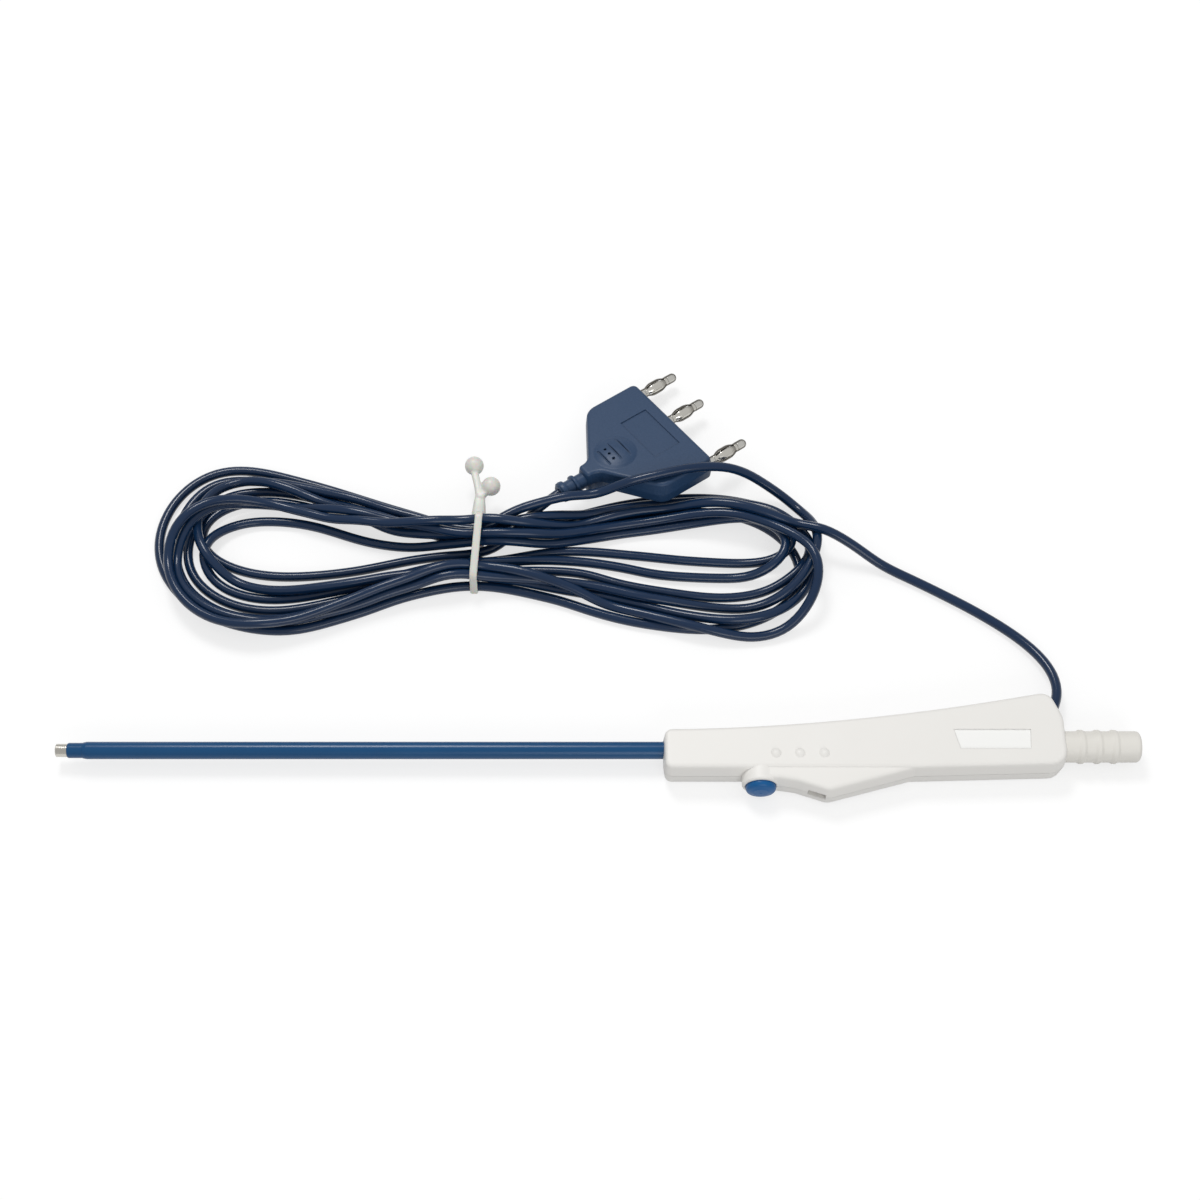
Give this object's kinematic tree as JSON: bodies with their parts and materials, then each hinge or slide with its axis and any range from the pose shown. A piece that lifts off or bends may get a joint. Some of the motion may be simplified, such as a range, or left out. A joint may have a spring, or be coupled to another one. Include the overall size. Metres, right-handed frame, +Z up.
{
  "type": "suction coagulator",
  "caption": "Handheld suction coagulator: insulated suction tube, slim casing with finger button, hose barb, and a tied cord to a flat plug with spring pins.",
  "frame": {"origin": "Middle of the box of the handpiece with its tube and barb, on the surface that the handpiece lies on; the cord and the plug are left out of that box.", "axes": "+X from the tube's tip towards the hose barb, +Y from the button side towards the cord's outlet, +Z up out of the surface, across the casing's thickness."},
  "size_m": [0.2722, 0.1304, 0.0134],
  "materials": {
    "casing": "satin",
    "tube_steel": "satin",
    "sleeve": "gloss",
    "fitting": "satin",
    "button": "satin",
    "board": "matte",
    "dome": "satin",
    "clip": "satin",
    "wire_red": "satin",
    "wire_white": "satin",
    "crimp": "satin",
    "cord": "satin",
    "tie": "satin",
    "plug": "satin",
    "pin": "polished"
  },
  "bodies": {
    "handpiece": {"upper_shell": "casing", "lower_shell": "casing", "suction_tube": "tube_steel", "inner_sleeve": "sleeve", "outer_sleeve": "sleeve", "suction_fitting": "fitting", "switch_board": "board", "switch_dome": "dome", "tube_clip": "clip", "active_wire": "wire_red", "switch_wire": "wire_white", "cord_crimp": "crimp", "cord_lead": "cord", "cord_hank": "cord", "cord_tail": "cord", "cord_tie": "tie", "plug_body": "plug", "plug_pin_1": "pin", "plug_pin_2": "pin", "plug_pin_3": "pin", "pin_cage_1": "pin", "pin_cage_2": "pin", "pin_cage_3": "pin"},
    "button": {"button": "button"}
  },
  "joints": [
    {"name": "button_press", "type": "slide", "parent": "handpiece", "child": "button", "axis": [0, 1, 0], "range_m": [0, 0.0006], "stiffness_N_per_m": 3000, "springref_m": -0.0002, "deforming": ["switch_dome"]}
  ]
}
